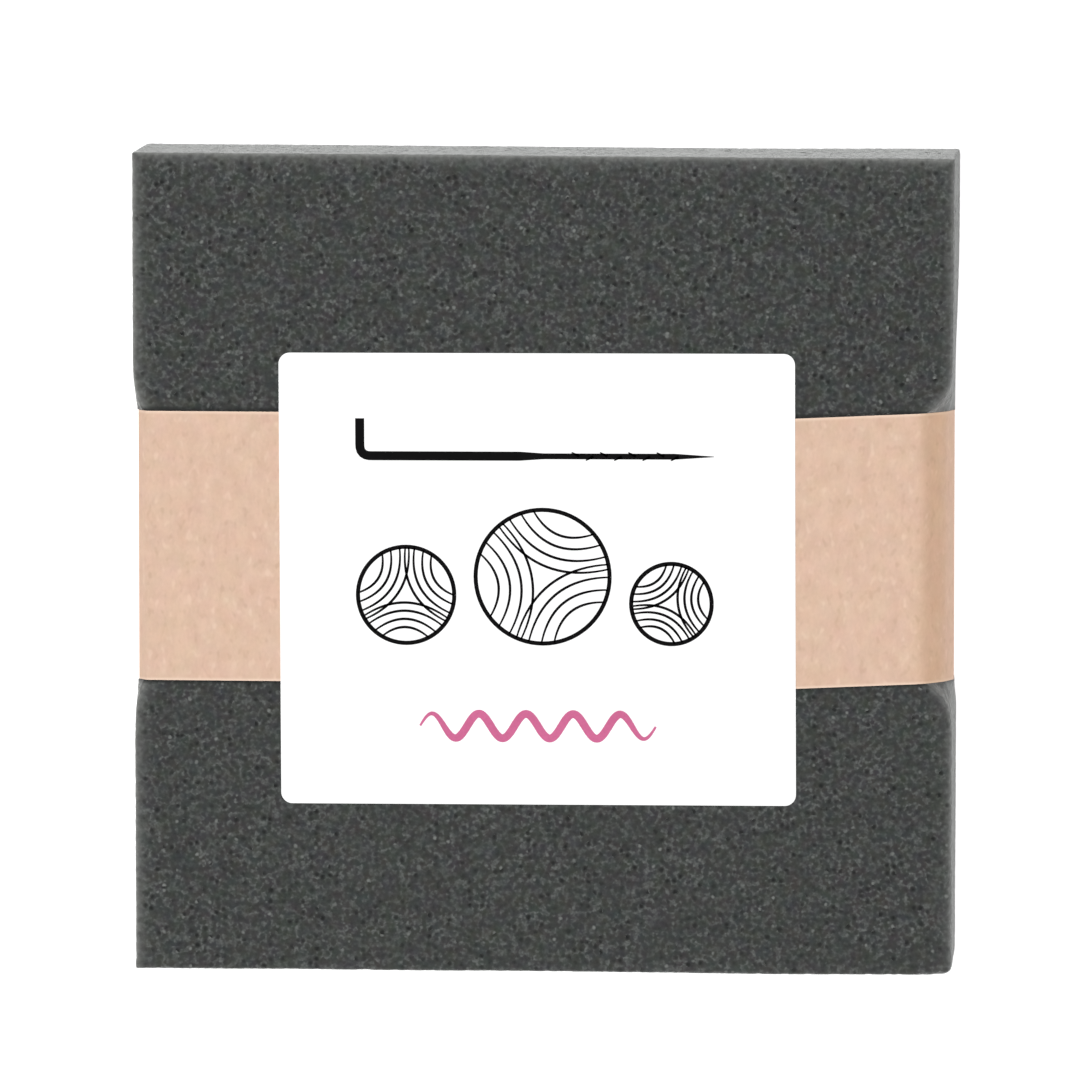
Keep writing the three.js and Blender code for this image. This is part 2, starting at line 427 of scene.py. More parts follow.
@dataclass(frozen=True)
class FoamFinish:
    """Open-cell charcoal foam: a soft mottle with light walls and dark cells, painted glints on the walls
    and in a few cells, painted shade in the open cells, the voids and the crease beside the band, and pale
    cut edges that are part fray and part painted rim light.
    """

    base: Colour = (0.0450, 0.0478, 0.0457)
    # Painted shade in the open cells and the voids.
    hollow: Colour = (0.012, 0.013, 0.0125)
    wall: Colour = (0.100, 0.106, 0.102)
    # Painted glint colour of the bright specks.
    glint_speck: Colour = (0.17, 0.178, 0.17)
    # Pale colour of the cut edges: part fray, part painted rim light.
    frayed_rim_light: Colour = (0.180, 0.183, 0.175)
    cell_size: float = 1.24 * MM
    drift: float = 0.50 * MM
    dash_size: float = 0.95 * MM
    mottle: float = 1.25
    least_tone: float = 0.3
    break_size: float = 0.95 * MM
    break_span: Span = (0.46, 0.64)
    walls: float = 0.72
    wall_span: Span = (0.42, 0.04)
    glint_size: float = 0.55 * MM
    glint_span: Span = (0.3, 0.75)
    glint: Span = (0.7, 1.5)
    patch_size: float = 5.0 * MM
    patch_span: Span = (0.36, 0.62)
    patch: Span = (0.4, 1.0)
    hollows: float = 1.0
    sunk_span: Span = (0.64, 0.1)
    hollow_span: Span = (0.60, 0.10)
    glint_specks: float = 0.12
    glint_speck_span: Span = (0.40, 0.10)
    tint_size: float = 3.2 * MM
    tint: float = 0.42
    relief: float = 0.12 * MM
    roughness: float = 0.95
    gloss: float = 0.1
    sheen: float = 0.70
    sheen_roughness: float = 0.5
    sheen_tint: Colour = (0.80, 0.81, 0.80)

    def material(self) -> Material:
        """Builds the foam's material.

        Returns:
            The material.
        """
        shader = Shader(
            Slot.FOAM.value,
            Roughness=self.roughness,
            Specular_IOR_Level=self.gloss,
            Sheen_Weight=self.sheen,
            Sheen_Roughness=self.sheen_roughness,
            Sheen_Tint=opaque(self.sheen_tint),
        )
        places = shader.places()
        swirl = shader.hues(places, self.cell_size)
        bent = shader.vector("ADD", places, shader.scaled(swirl, self.drift))
        cell = shader.cells(bent, self.cell_size)
        to_wall = shader.cells(bent, self.cell_size, "DISTANCE_TO_EDGE").outputs["Distance"]
        core = cell.outputs["Distance"]
        chance = shader.parts(cell.outputs["Color"])[0]
        grain = shader.noise(places, self.dash_size)
        breaks = shader.noise(places, self.break_size, 1.0)
        fray_and_rim_light = shader.attribute("fray_and_rim_light")
        patch = shader.ramp(shader.noise(places, self.patch_size), self.patch_span, self.patch)
        open_cells = shader.maths("MULTIPLY", patch, shader.maths("SUBTRACT", 1.0, fray_and_rim_light))
        broken = shader.ramp(breaks, self.break_span, (0.0, self.walls))
        caught = shader.maths("MULTIPLY", broken, open_cells)
        wall = shader.maths("MULTIPLY", shader.ramp(to_wall, self.wall_span), caught)
        # Painted shade: the middles of some open cells are darkened.
        chosen = shader.ramp(chance, self.sunk_span, (0.0, self.hollows))
        sunk = shader.maths("MULTIPLY", chosen, open_cells)
        hollow = shader.maths("MULTIPLY", shader.ramp(core, self.hollow_span), sunk)
        # Painted glints: a few cells get a bright speck in the middle.
        bright = shader.ramp(chance, (1.0 - self.glint_specks, 1.0))
        glint_speck = shader.maths("MULTIPLY", shader.ramp(core, self.glint_speck_span), bright)
        body = shader.tinted(self.base, places, self.tint_size, self.tint)
        # Painted rim light: the cut edges turn pale, partly as fray.
        edged = shader.mix(fray_and_rim_light, body, opaque(self.frayed_rim_light))
        tone = shader.maths("MULTIPLY_ADD", grain, self.mottle, 1 - self.mottle / 2)
        toned = shader.scaled(edged, shader.maths("MAXIMUM", tone, self.least_tone))
        # Painted glints: the light walls brighten and dim along their length.
        glint = shader.ramp(shader.noise(places, self.glint_size, 1.0), self.glint_span, self.glint)
        walled = shader.mix(wall, toned, shader.scaled(self.wall, glint))
        lit = shader.mix(glint_speck, walled, opaque(self.glint_speck))
        # Painted shade: darker in the deep voids and in the crease beside the band's edges.
        pressed = shader.maths("MAXIMUM", shader.attribute("void"), shader.attribute("crease_shade"))
        dark = shader.maths("MAXIMUM", hollow, pressed)
        colour = shader.mix(dark, lit, opaque(self.hollow))
        shader.finish(colour, shader.maths("SUBTRACT", wall, hollow), self.relief)
        return shader.surface


@dataclass(frozen=True)
class KraftFinish:
    """Kraft paper: pale tan, with fibres, dark and light marks and a drifting tint, pale cut edges that are
    partly a painted highlight, and painted shade on a fold.
    """

    name: str
    light: Colour
    dark: Colour
    fleck: Colour
    pale: Colour
    # Painted shade: the tint that darkens the right front fold.
    fold_shade_tint: Colour = (0.965, 0.90, 0.80)
    # How far the partly painted highlight reaches in from the long edges.
    edge_highlight_reach: float = 0.7 * MM
    stretch: float = 0.62
    mottle_size: float = 2.6 * MM
    mottle: float = 0.6
    fibre_size: float = 0.6 * MM
    blend_span: Span = (0.25, 0.75)
    mark_size: float = 1.5 * MM
    mark_offset: Place = (3.1, 1.7, 0.0)
    dark_marks: float = 0.42
    dark_span: Span = (0.57, 0.78)
    light_marks: float = 0.45
    light_span: Span = (0.43, 0.20)
    tint_size: float = 4.0 * MM
    tint: float = 0.10
    relief: float = 0.02 * MM
    fibre_span: Span = (0.3, 0.7)
    roughness: Span = (0.78, 0.92)
    gloss: float = 0.25
    sheen: float = 0.7
    sheen_tint: Colour = (1.0, 0.68, 0.54)

    def material(self, width: float) -> Material:
        """Builds the paper's material, on the strip's own map in metres.

        Args:
            width: How wide the strip is.

        Returns:
            The material.
        """
        shader = Shader(
            self.name,
            Specular_IOR_Level=self.gloss,
            Sheen_Weight=self.sheen,
            Sheen_Tint=opaque(self.sheen_tint),
        )
        places = shader.add("ShaderNodeUVMap", uv_map=STRIP_MAP).outputs[0]
        along = shader.vector("MULTIPLY", places, (1.0, self.stretch, 1.0))
        fibres = shader.noise(along, self.fibre_size, 3.0)
        fine = shader.maths("MULTIPLY", fibres, 1 - self.mottle)
        blend = shader.maths("MULTIPLY_ADD", shader.noise(along, self.mottle_size), self.mottle, fine)
        base = shader.mix(shader.ramp(blend, self.blend_span), opaque(self.dark), opaque(self.light))
        marks = shader.noise(shader.vector("ADD", along, self.mark_offset), self.mark_size, 1.0)
        dark_marks = shader.ramp(marks, self.dark_span, (0.0, self.dark_marks))
        light_marks = shader.ramp(marks, self.light_span, (0.0, self.light_marks))
        darker = shader.mix(dark_marks, base, opaque(self.fleck))
        marked = shader.mix(light_marks, darker, opaque(self.pale))
        tinted = shader.tinted(marked, places, self.tint_size, self.tint)
        across = shader.parts(places)["Y"]
        # Partly painted highlight: the paper turns pale near its long cut edges.
        to_edge = shader.maths("MINIMUM", across, shader.maths("SUBTRACT", width, across))
        edged = shader.mix(shader.ramp(to_edge, (self.edge_highlight_reach, 0.0)), tinted, opaque(self.pale))
        # Painted shade: the right front fold is darkened to a deeper tan.
        fold_shaded = shader.mix(shader.attribute("fold"), WHITE, opaque(self.fold_shade_tint))
        colour = shader.vector("MULTIPLY", edged, fold_shaded)
        shader.finish(colour, fibres, self.relief, shader.ramp(fibres, self.fibre_span, self.roughness))
        return shader.surface


@dataclass(frozen=True)
class SheetFinish:
    """A coat on the label's paper: white stock or printed ink, with a faint grain."""

    name: str
    light: Colour
    dark: Colour
    roughness: float
    gloss: float
    roughness_swing: float = 0.05
    grain_size: float = 0.5 * MM
    grain_span: Span = (0.3, 0.7)
    cloud_size: float = 5.0 * MM
    tone_span: Span = (0.35, 0.65)
    relief: float = 0.004 * MM

    def material(self) -> Material:
        """Builds the coat's material.

        Returns:
            The material.
        """
        shader = Shader(self.name, Specular_IOR_Level=self.gloss)
        places = shader.places()
        grain = shader.noise(places, self.grain_size, 3.0)
        both = shader.maths("ADD", grain, shader.noise(places, self.cloud_size))
        tone = shader.ramp(shader.maths("DIVIDE", both, 2.0), self.tone_span)
        colour = shader.mix(tone, opaque(self.dark), opaque(self.light))
        swing = (self.roughness - self.roughness_swing, self.roughness + self.roughness_swing)
        shader.finish(colour, grain, self.relief, shader.ramp(grain, self.grain_span, swing))
        return shader.surface


KRAFT_FACE = KraftFinish(
    Slot.KRAFT.value,
    light=(0.700, 0.494, 0.376),
    dark=(0.618, 0.424, 0.315),
    fleck=(0.50, 0.33, 0.235),
    pale=(0.81, 0.61, 0.48),
)
KRAFT_CUT = KraftFinish(
    "kraft_cut_edge",
    light=(0.86, 0.69, 0.57),
    dark=(0.78, 0.60, 0.48),
    fleck=(0.65, 0.46, 0.35),
    pale=(0.86, 0.69, 0.57),
)
LABEL_STOCK = SheetFinish(Slot.LABEL.value, (0.93, 0.93, 0.93), (0.91, 0.91, 0.91), 0.45, 0.4)
BLACK_INK = SheetFinish("black_ink", (0.0040, 0.0036, 0.0040), (0.0024, 0.0024, 0.0026), 0.50, 0.02)
PINK_INK = SheetFinish("pink_ink", (0.60, 0.135, 0.285), (0.54, 0.115, 0.250), 0.50, 0.1)


@dataclass(frozen=True)
class Wrap:
    """How the paper strip lies round the pad, by its outer faces, its edges and its lapped ends.

    Each profile of a side's edge gives points by how far in they lie, and how far back as a share of the
    thickness.
    """

    left: float
    right: float
    back: float
    front: float
    width: float = 50.4 * MM
    middle: float = 3.1 * MM
    paper: float = 0.4 * MM
    climb: float = 0.55 * MM
    slant: float = math.radians(2.7)
    slant_start: float = 5.5 * MM
    left_front: Profile = ((1.7 * MM, 0.0), (0.0, 0.085))
    left_back: Profile = ((0.0, 0.915), (1.7 * MM, 1.0))
    right_front: Profile = ((5.4 * MM, 0.0), (1.5 * MM, 0.18), (0.0, 0.33))
    right_back: Profile = ((0.4 * MM, 0.60), (1.1 * MM, 0.86), (1.8 * MM, 1.0))
    left_crease: float = 1.2 * MM
    right_crease: float = 3.5 * MM
    right_bulge: float = 0.75 * MM
    lap_middle: float = -0.9 * MM
    lap_length: float = 25.0 * MM
    lap_ramp: float = 6.0 * MM
    lap_gap: float = 0.15 * MM

    @classmethod
    def from_frame(cls) -> "Wrap":
        """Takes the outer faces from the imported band, with the right side bulged out by the foam."""
        low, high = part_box("kraft_band")
        return cls(left=low[0], right=high[0] + cls.right_bulge, back=low[2], front=high[2])

    @property
    def half_way(self) -> float:
        """The z half way between the back and the front."""
        return (self.front + self.back) / 2

    @property
    def over_end(self) -> float:
        """The x at which the upper end of the strip stops."""
        return self.lap_middle - self.lap_length / 2

    @property
    def under_end(self) -> float:
        """The x at which the covered end of the strip stops."""
        return self.lap_middle + self.lap_length / 2

    def slant_at(self, x: Array) -> Array:
        """How far the front run that comes in from the right is moved along Y."""
        return self.climb - np.maximum(self.right - self.slant_start - x, 0) * math.tan(self.slant)

    def climb_at(self, x: Array) -> Array:
        """How far the strip is moved along Y on the left side, the back and the right side."""
        return self.climb * (x - self.left) / (self.right - self.left)

    def past_edges(self, points: Array, on_front: Array | bool) -> Array:
        """Finds how far points lie past the strip's edges.

        Args:
            points: One row of x, y and z for each point.
            on_front: Which of the points are on the front face.

        Returns:
            The distances along Y, below 0 under the strip.
        """
        x, y = points[:, 0], points[:, 1]
        over = np.interp(x, (self.over_end - self.lap_ramp, self.over_end), (0.0, 1.0))
        under = np.interp(x, (self.under_end, self.under_end + self.lap_ramp), (0.0, 1.0))
        low = self.middle - self.width / 2 + np.where(on_front, over * self.slant_at(x), self.climb_at(x))
        high = self.middle + self.width / 2 + np.where(on_front, under * self.slant_at(x), self.climb_at(x))
        return np.maximum(low - y, y - high)

    def side(self, profile: Profile, wall: float, inset: float, share: float) -> list[Point]:
        """Gives part of a side's line.

        Args:
            profile: The profile of one of the side's edges.
            wall: The x of the side's outermost line.
            inset: How far the line lies inside the strip's outer faces.
            share: The share of the profile's depth that the line has.

        Returns:
            Points of x and z.
        """
        inward = math.copysign(1.0, self.left + self.right - 2 * wall)
        front = self.front - inset
        thick = front - self.back - inset
        return [(wall + inward * (inset + depth * share), front - thick * down) for depth, down in profile]

    def outline(self, inset: float, bevel: float) -> dict[str, list[Point]]:
        """Gives the foam's held section inside the strip, by its four faces.

        Args:
            inset: How far the section lies inside the strip's outer faces.
            bevel: The share of the front bevels that the section has.

        Returns:
            The front and back from left to right, and the left and right sides from front to back.
        """
        left = self.side(self.left_front, self.left, inset, bevel)
        left += self.side(self.left_back, self.left, inset, 1.0)
        right = self.side(self.right_front, self.right, inset, bevel)
        right += self.side(self.right_back, self.right, inset, 1.0)
        return {"front": [left[0], right[0]], "back": [left[-1], right[-1]], "left": left, "right": right}

    def line(self, steps: int) -> list[Point]:
        """Gives the strip's outer line from its covered end round the pad to its upper end.

        Args:
            steps: Stretches in each rounded corner.

        Returns:
            Points of x and z, counter-clockwise seen from -Y.
        """
        faces = self.outline(0.0, 1.0)
        sunk = self.front - self.paper - self.lap_gap
        ramp = self.lap_ramp
        corners = [
            (self.under_end, sunk, 0.0),
            (self.over_end, sunk, ramp),
            (self.over_end - ramp, self.front, ramp),
            *((x, z, self.left_crease) for x, z in faces["left"]),
            *((x, z, self.right_crease) for x, z in reversed(faces["right"])),
            (self.over_end, self.front, 0.0),
        ]
        return rounded(corners, steps)


@dataclass(frozen=True)
class Swell:
    """How the foam swells out again past the band: within what distance, and how steeply."""

    reach: float
    power: float

    def near(self, away: Array) -> Array:
        """Returns the share of the band's hold that is left at each distance past it."""
        return np.clip(1 - np.maximum(away, 0) / self.reach, 0, 1) ** self.power


@dataclass
class FoamPad:
    """The hand-cut foam block, drawn in under the band, with its open cells as real pits.

    While it is built, it holds the points of the square block: where they are, their shares of the block
    along X, Y and Z, how far they are from its lowest and highest corners, and how far past the band.
    """

    wrap: Wrap
    finish: FoamFinish = field(default_factory=FoamFinish)
    spacing: float = 0.42 * MM
    quick_spacing: float = 0.8 * MM
    upper_left: Point = (-0.38 * MM, 0.35 * MM)
    upper_right: Point = (0.03 * MM, 0.0)
    lower_left: Point = (-0.15 * MM, -0.32 * MM)
    lower_right: Point = (-0.30 * MM, 0.0)
    upper_lean: float = 0.35 * MM
    lower_lean: float = 0.60 * MM
    rounding: float = 0.7 * MM
    right_rounding: float = 1.4 * MM
    right_reach: float = 2.5 * MM
    upright_rounding: float = 0.35 * MM
    upright_reach: float = 3.0 * MM
    upper_left_swell: Swell = Swell(9.0 * MM, 2.6)
    lower_left_swell: Swell = Swell(15.0 * MM, 2.4)
    upper_right_swell: Swell = Swell(34.0 * MM, 2.0)
    lower_right_swell: Swell = Swell(8.0 * MM, 2.4)
    bevel_swell: Swell = Swell(11.0 * MM, 4.0)
    step: float = 0.03 * MM
    puff: float = 0.15 * MM
    soft_reach: float = 2.0 * MM
    # The cut edges' pale rims are part fray and part painted rim light, set stronger at the upper, left and
    # right edges than at the lower one.
    fray_light_reach: float = 1.05 * MM
    upper_fray_light: float = 0.88
    left_fray_light: float = 0.95
    right_fray_light: float = 0.55
    lower_fray_light: float = 0.1
    bevel_fray_light: float = 0.6
    # Painted shade in the crease along the band's edges, and how far it reaches.
    crease_shade: float = 1.0
    crease_shade_reach: float = 0.58 * MM
    cell_size: float = 1.2 * MM
    cell_depth: float = 0.12 * MM
    cell_span: Span = (0.7, 0.15)
    void_share: float = 0.003
    void_depth: float = 0.5 * MM
    wave: float = 0.5 * MM
    wave_length: float = 45.0 * MM
    fit: float = 0.02 * MM
    map_gap: float = 2.0 * MM
    seed: int = 7
    square: Array = field(init=False)
    shares: Array = field(init=False)
    past_low: Array = field(init=False)
    to_high: Array = field(init=False)
    away: Array = field(init=False)

    def build(self) -> Object:
        """Builds the pad's mesh and dresses it.

        Returns:
            The foam pad.
        """
        low, high = (np.array(corner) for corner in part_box("foam_pad"))
        size = high - low
        spacing = self.spacing
        steps = np.maximum(np.rint(size / spacing).astype(int), 2)
        self.shares, quads, corners = self.lattice(steps, size)
        self.square = low + self.shares * size
        self.away = self.snap(size[1] / steps[1])
        self.past_low, self.to_high = self.square - low, high - self.square
        piece = new_piece("foam_pad_visual", self.draw_in(), quads)
        give_map(piece, BAKE_MAP, corners)
        # Pale cut edges, part fray and part painted rim light.
        give_values(piece, "fray_and_rim_light", self.fray_and_rim_light())
        # Painted shade in the crease beside the band's edges.
        give_values(piece, "crease_shade", self.crease_shade * np.exp(-(self.away / self.crease_shade_reach) ** 2))
        give_values(piece, "soft", self.softness())
        soften_steps = max(1, round((self.right_rounding / spacing) ** 2 / BLUR_SPREAD))
        self.cells_tree(soften_steps).run(piece, self.finish.material())
        piece.data.shade_smooth()
        return piece

    def lattice(self, steps: Array, size: Array) -> tuple[Array, Array, Array]:
        """Lays six grids over a box, with shared points along its edges.

        Args:
            steps: Squares along X, Y and Z.
            size: The box's size.

        Returns:
            Each point's shares along X, Y and Z, the faces, and the bake map's place of each face corner.
        """
        quads, flat = [], []
        row = 0.0
        for axis in (2, 0, 1):
            first, second = (axis + 1) % 3, (axis + 2) % 3
            wide, tall = (first, second) if size[first] > size[second] else (second, first)
            for end in (0, 1):
                a, b = np.meshgrid(np.arange(steps[first]), np.arange(steps[second]), indexing="ij")
                ring = ((0, 0), (1, 0), (1, 1), (0, 1)) if end else ((0, 0), (0, 1), (1, 1), (1, 0))
                quad = np.empty((a.size, 4, 3), dtype=np.int64)
                quad[..., axis] = end * steps[axis]
                for corner, (along, across) in enumerate(ring):
                    quad[:, corner, first] = a.ravel() + along
                    quad[:, corner, second] = b.ravel() + across
                quads.append(quad)
                place = quad / steps * size
                column = end * (size[wide] + self.map_gap)
                flat.append(np.stack([place[..., wide] + column, place[..., tall] + row], axis=-1))
            row += size[tall] + self.map_gap
        lattice = np.concatenate(quads).reshape(-1, 3)
        keys = np.ravel_multi_index(lattice.T, steps + 1)
        _, first_use, faces = np.unique(keys, return_index=True, return_inverse=True)
        corners = np.concatenate(flat).reshape(-1, 2)
        return lattice[first_use] / steps, faces.reshape(-1, 4), corners / corners.max()

    def snap(self, spacing: float) -> Array:
        """Moves the rows of points nearest to the band's edges to either side of them, close to them.

        Args:
            spacing: How far apart the rows are.

        Returns:
            How far each point then lies past the band, below 0 under it.
        """
        away = self.wrap.past_edges(self.square, self.shares[:, 2] == 1)
        snapped = np.where(np.abs(away) < spacing, np.copysign(self.step, away), away)
        move = snapped - away
        self.square[:, 1] += np.copysign(move, move * (self.square[:, 1] - self.wrap.middle))
        return snapped

    def hand_cut(self) -> Array:
        """Finds how far the cut block's points lie off the square one's in X and Y.

        Returns:
            The distances, with a right side that leans in towards the back.
        """
        across, along, up = (self.shares[:, [axis]] for axis in range(3))
        lower_right = up * (self.lower_lean, 0.0) + self.lower_right
        upper_right = up * (self.upper_lean, 0.0) + self.upper_right
        lower = (1 - across) * self.lower_left + across * lower_right
        upper = (1 - across) * self.upper_left + across * upper_right
        return (1 - along) * lower + along * upper

    def hold_at(self, free: Array, bevel: float) -> Array:
        """Finds where the points would be if the band held the whole block.

        Args:
            free: The points of the free block.
            bevel: The share of the band's front bevels that the block has.

        Returns:
            The x and z of each point: pressed in under the paper, and a little proud of it elsewhere.
        """
        across, up = self.shares[:, 0], self.shares[:, 2]
        deep = self.wrap.outline(self.wrap.paper + self.fit, bevel)
        proud = self.wrap.outline(-self.puff, bevel)
        held = free[:, [0, 2]].copy()
        for face, chosen, share in (
            ("left", across == 0, 1 - up),
            ("right", across == 1, 1 - up),
            ("back", up == 0, across),
            ("front", up == 1, across),
        ):
            pressed, outer = (walk(section[face], share[chosen]) for section in (deep, proud))
            held[chosen] = np.where(self.away[chosen, None] < 0, pressed, outer)
        held[:, 1] = np.clip(held[:, 1], free[:, 2].min(), free[:, 2].max())
        return held

    def draw_in(self) -> Array:
        """Moves the points to where the band holds them: under it, and a little proud beside it.

        Returns:
            The points of the held block.
        """
        points = self.square.copy()
        points[:, :2] += self.hand_cut()
        leaned = self.hold_at(points, 0.0)
        bevelled = self.hold_at(points, 1.0)
        above = self.square[:, 1] > self.wrap.middle
        left, right = (
            np.where(above, upper.near(self.away), lower.near(self.away))
            for upper, lower in (
                (self.upper_left_swell, self.lower_left_swell),
                (self.upper_right_swell, self.lower_right_swell),
            )
        )
        sides = left + (right - left) * self.shares[:, 0]
        move = (leaned - points[:, [0, 2]]) * sides[:, None]
        move += (bevelled - leaned) * self.bevel_swell.near(self.away)[:, None]
        points[:, [0, 2]] += move
        return points

    def fray_and_rim_light(self) -> Array:
        """Finds how pale the foam is near its long cut edges, and on its sides beside the band: part fray,
        part painted rim light.

        Returns:
            The share of fray and painted rim light at each point.
        """
        to_side, _, to_face = np.minimum(self.past_low, self.to_high).T
        edges = (
            (self.left_fray_light, self.past_low[:, 0]),
            (self.right_fray_light, self.to_high[:, 0]),
            (self.upper_fray_light, self.to_high[:, 1]),
            (self.lower_fray_light, self.past_low[:, 1]),
        )
        fray_and_rim_lights = [share * np.exp(-np.hypot(reach, to_face) / self.fray_light_reach) for share, reach in edges]
        # Painted light: the sides beside the band are made paler.
        fray_and_rim_lights.append(self.bevel_fray_light * (to_side == 0) * self.bevel_swell.near(self.away))
        return np.max(fray_and_rim_lights, axis=0)

    def softness(self) -> Array:
        """Finds how much each point is softened: most at the right side's edges, and not beside the band.

        Returns:
            The weight of a point's neighbours in one step of the softening.
        """
        to_side, to_end, _ = np.minimum(self.past_low, self.to_high).T
        past = np.clip(np.maximum(to_side, to_end) / self.upright_reach, 0, 1)
        at_front, at_foot = (  # whole within the reach, and gone at twice the reach
            np.clip(2 - np.hypot(self.to_high[:, 0], away) / self.right_reach, 0, 1)
            for away in (self.to_high[:, 2], self.past_low[:, 1])
        )
        sharp, plain, full = self.upright_rounding ** 2, self.rounding ** 2, self.right_rounding ** 2
        level = plain + (full - plain) * np.maximum(at_front, at_foot)
        beside = np.clip((np.abs(self.away) - self.step) / self.soft_reach, 0, 1)
        spread = BLUR_SPREAD * (sharp + (level - sharp) * np.maximum(past, at_foot)) / full * beside
        return spread / (2 - 4 * spread)  # a weight w spreads a point by 2 w / (1 + 4 w)

    def cells_tree(self, soften_steps: int) -> GeometryTree:
        """Builds the tree that softens the foam's edges, sinks cut cells into it and marks them.

        Args:
            soften_steps: Steps of the softening.

        Returns:
            The tree.
        """
        tree = GeometryTree("foam_cells", {
            "Cell Size": self.cell_size,
            "Cell Depth": self.cell_depth,
            "Void Share": self.void_share,
            "Void Depth": self.void_depth,
            "Wave": self.wave,
            "Wave Length": self.wave_length,
            "Soften Steps": soften_steps,
            "Seed": self.seed,
        })
        origin = tree.place()
        blur = tree.add(
            "GeometryNodeBlurAttribute",
            {"Iterations": tree.entry("Soften Steps"), "Weight": tree.named_value("soft")},
            data_type="FLOAT_VECTOR",
        )
        taken, given = (
            next(socket for socket in sockets if socket.enabled and socket.type == "VECTOR")
            for sockets in (blur.inputs, blur.outputs)
        )
        tree.feed(taken, origin)
        soft = tree.moved(tree.entry("Geometry"), given)
        place = tree.vector("ADD", origin, tree.entry("Seed"))
        cell = tree.cells(place, tree.entry("Cell Size"))
        dent = tree.ramp(cell.outputs["Distance"], self.cell_span)
        chance = tree.parts(cell.outputs["Color"])[0]
        hollow = tree.maths("LESS_THAN", chance, tree.entry("Void Share"))
        void = tree.maths("MULTIPLY", hollow, dent)
        sound = tree.maths("SUBTRACT", 1.0, tree.named_value("fray_and_rim_light"))
        depth = tree.maths("MULTIPLY", sound, tree.entry("Cell Depth"))
        sunk_cell = tree.maths("MULTIPLY", tree.maths("SUBTRACT", dent, 0.5), depth)
        sunk_void = tree.maths("MULTIPLY_ADD", void, tree.entry("Void Depth"), sunk_cell)
        swing = tree.maths("SUBTRACT", tree.noise(place, tree.entry("Wave Length"), 1.0), 0.5)
        sunk = tree.maths("MULTIPLY_ADD", swing, tree.entry("Wave"), sunk_void)
        outward = tree.add("GeometryNodeInputNormal").outputs[0]
        inward = tree.scaled(outward, tree.maths("MULTIPLY", sunk, -1.0))
        parts = tree.parts(tree.vector("ADD", origin, inward))
        lifted = tree.at_height(parts, tree.maths("MAXIMUM", parts["Z"], 0.0))
        # Marks the voids, which the material darkens with painted shade.
        marks = {"Geometry": soft, "Name": "void", "Value": void}
        marked = tree.add("GeometryNodeStoreNamedAttribute", marks, data_type="FLOAT", domain="POINT")
        tree.close(tree.moved(marked.outputs[0], lifted))
        return tree


